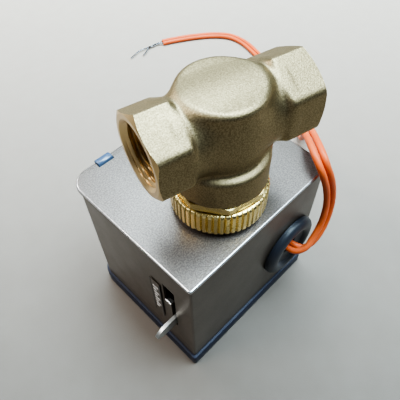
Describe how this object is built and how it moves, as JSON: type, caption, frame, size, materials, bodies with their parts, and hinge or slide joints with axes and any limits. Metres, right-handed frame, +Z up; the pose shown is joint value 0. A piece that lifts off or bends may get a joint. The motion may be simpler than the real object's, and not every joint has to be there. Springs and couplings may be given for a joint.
{
  "type": "motorised zone valve",
  "caption": "Two-port heating zone valve: hexagon-ended brass body clamped by a knurled ring nut to a spring-return motor actuator with a manual lever and supply leads.",
  "frame": {"origin": "where the valve stem's axis meets the plane that the base cap rests on", "axes": "+Z up along the stem from the actuator to the valve; X and Y along the actuator housing's sides, with the lever out of the -X side and the leads out of the -Y side; the pipe run is turned 13.6 degrees from X about Z"},
  "size_m": [0.2136, 0.2101, 0.1262],
  "materials": {
    "base_plastic": "glossy black moulding",
    "sleeve_paint": "satin champagne grey paint on folded sheet",
    "plate_steel": "satin zinc-plated sheet",
    "cast_brass": "fine sand-cast grain, tinned tone",
    "turned_brass": "bright turned brass",
    "bright_steel": "bright plated steel",
    "frame_steel": "dull galvanised sheet",
    "black_rubber": "matt black elastomer",
    "black_bushing": "semi-matt black polyamide",
    "white_nylon": "natural acetal",
    "lead_insulation": "satin orange PVC",
    "lead_conductor": "tinned stranded copper",
    "coil_winding": "enamelled copper winding",
    "rotor_magnet": "moulded magnet",
    "label_film": "thin printed film without lettering"
  },
  "bodies": {
    "case_and_valve": {"base_cap": "base_plastic", "sleeve_cover": "sleeve_paint", "mounting_plate": "plate_steel", "spigot_bush": "bright_steel", "spigot_nut": "frame_steel", "gear_frame_front": "frame_steel", "gear_frame_rear": "frame_steel", "frame_post_1": "bright_steel", "frame_post_2": "bright_steel", "frame_post_3": "bright_steel", "frame_post_4": "bright_steel", "frame_screw_1": "bright_steel", "frame_screw_2": "bright_steel", "frame_screw_3": "bright_steel", "frame_screw_4": "bright_steel", "pivot_pin": "bright_steel", "second_gear_pin": "bright_steel", "first_gear_pin": "bright_steel", "lever_return_spring": "bright_steel", "motor_can": "bright_steel", "motor_cover": "bright_steel", "motor_screw_1": "bright_steel", "motor_screw_2": "bright_steel", "stator_coil": "coil_winding", "cable_bushing": "black_bushing", "bushing_lock_nut": "black_bushing", "terminal_block": "white_nylon", "lever_label": "label_film", "valve_body": "cast_brass", "bonnet_insert": "turned_brass", "bonnet_gasket": "black_rubber", "stem_seal_1": "black_rubber", "stem_seal_2": "black_rubber", "closing_spring": "bright_steel", "lead_live": "lead_insulation", "lead_live_core": "lead_conductor", "lead_neutral": "lead_insulation", "lead_neutral_core": "lead_conductor"},
    "ring_nut": {"ring_nut": "turned_brass"},
    "lever": {"manual_lever": "bright_steel", "lift_sleeve": "white_nylon"},
    "second_gear": {"second_gear": "white_nylon"},
    "first_gear": {"first_gear": "white_nylon"},
    "rotor": {"motor_rotor": "rotor_magnet", "rotor_pinion": "turned_brass"},
    "stem": {"tappet": "bright_steel", "valve_stem": "turned_brass", "seat_disc": "black_rubber"}
  },
  "joints": [
    {"name": "ring_nut_spin", "type": "hinge", "parent": "case_and_valve", "child": "ring_nut", "pos_m": [0, 0, 0.08], "axis": [0, 0, 1], "continuous": true},
    {"name": "lever_swing", "type": "hinge", "parent": "case_and_valve", "child": "lever", "pos_m": [0.009, -0.0085, 0.031], "axis": [0, 1, 0], "range_deg": [0, 22], "stiffness_Nm_per_rad": 0.12, "springref_deg": -34.38},
    {"name": "second_gear_spin", "type": "hinge", "parent": "case_and_valve", "child": "second_gear", "pos_m": [0.02743, -0.007, 0.01809], "axis": [0, 1, 0], "range_deg": [-89, 0.5]},
    {"name": "first_gear_spin", "type": "hinge", "parent": "case_and_valve", "child": "first_gear", "pos_m": [0.02861, -0.004, 0.03154], "axis": [0, 1, 0], "range_deg": [-0.5, 177]},
    {"name": "rotor_spin", "type": "hinge", "parent": "case_and_valve", "child": "rotor", "pos_m": [0.01906, 0.011, 0.04109], "axis": [0, 1, 0], "range_deg": [-353, 0.5]},
    {"name": "stem_slide", "type": "slide", "parent": "case_and_valve", "child": "stem", "axis": [0, 0, 1], "range_m": [0, 0.00346], "stiffness_N_per_m": 100, "springref_m": -0.006, "deforming": ["closing_spring"]}
  ],
  "couplings": [
    {"joint": "lever_swing", "follows": "stem_slide", "rad_per_m": 111.11},
    {"joint": "second_gear_spin", "follows": "stem_slide", "rad_per_m": -444.44},
    {"joint": "first_gear_spin", "follows": "stem_slide", "rad_per_m": 888.89},
    {"joint": "rotor_spin", "follows": "stem_slide", "rad_per_m": -1777.8}
  ]
}
